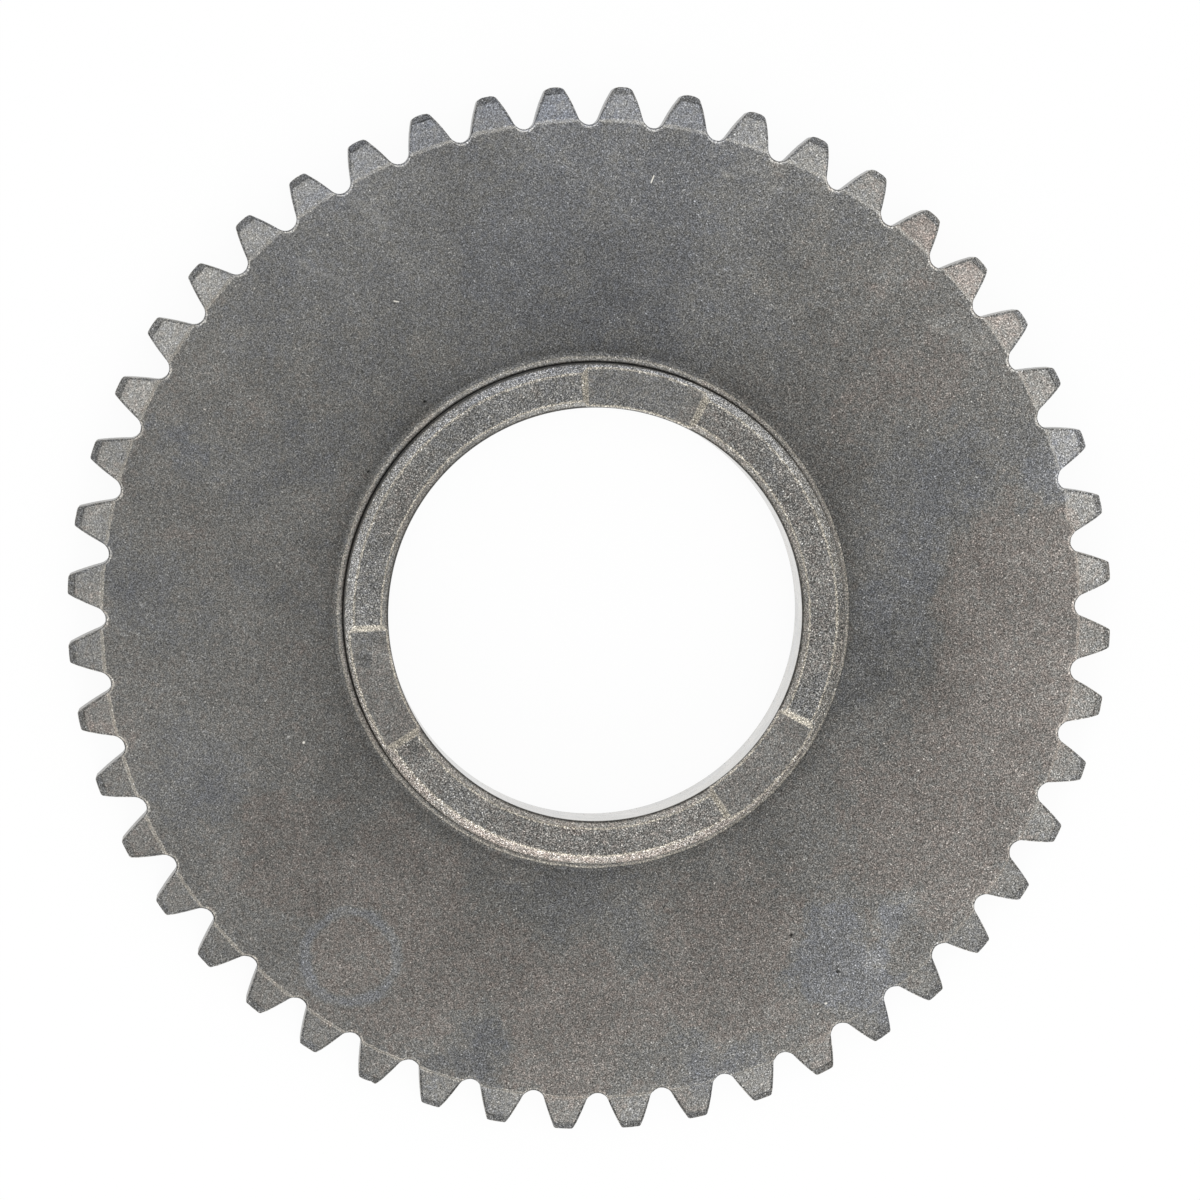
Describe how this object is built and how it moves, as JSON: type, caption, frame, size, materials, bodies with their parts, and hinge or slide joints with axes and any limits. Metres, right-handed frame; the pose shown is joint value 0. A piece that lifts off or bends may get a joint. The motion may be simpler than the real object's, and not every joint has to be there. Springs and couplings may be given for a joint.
{
  "type": "chain drive sprocket",
  "caption": "Flat steel drive sprocket for an inverted-tooth chain, with a raised, notched hub ring round a plain through bore.",
  "frame": {"origin": "centre of the bore at the flat back face", "axes": "+Z along the bore axis towards the hub ring, +X through the middle of a tooth"},
  "size_m": [0.146, 0.146, 0.0112],
  "materials": {
    "blasted_steel": "dull grey blasted steel with a fine grain, grey-brown and grey-blue clouds, and paler worn edges"
  },
  "bodies": {
    "root": {"drive_sprocket": "blasted_steel"}
  },
  "joints": []
}
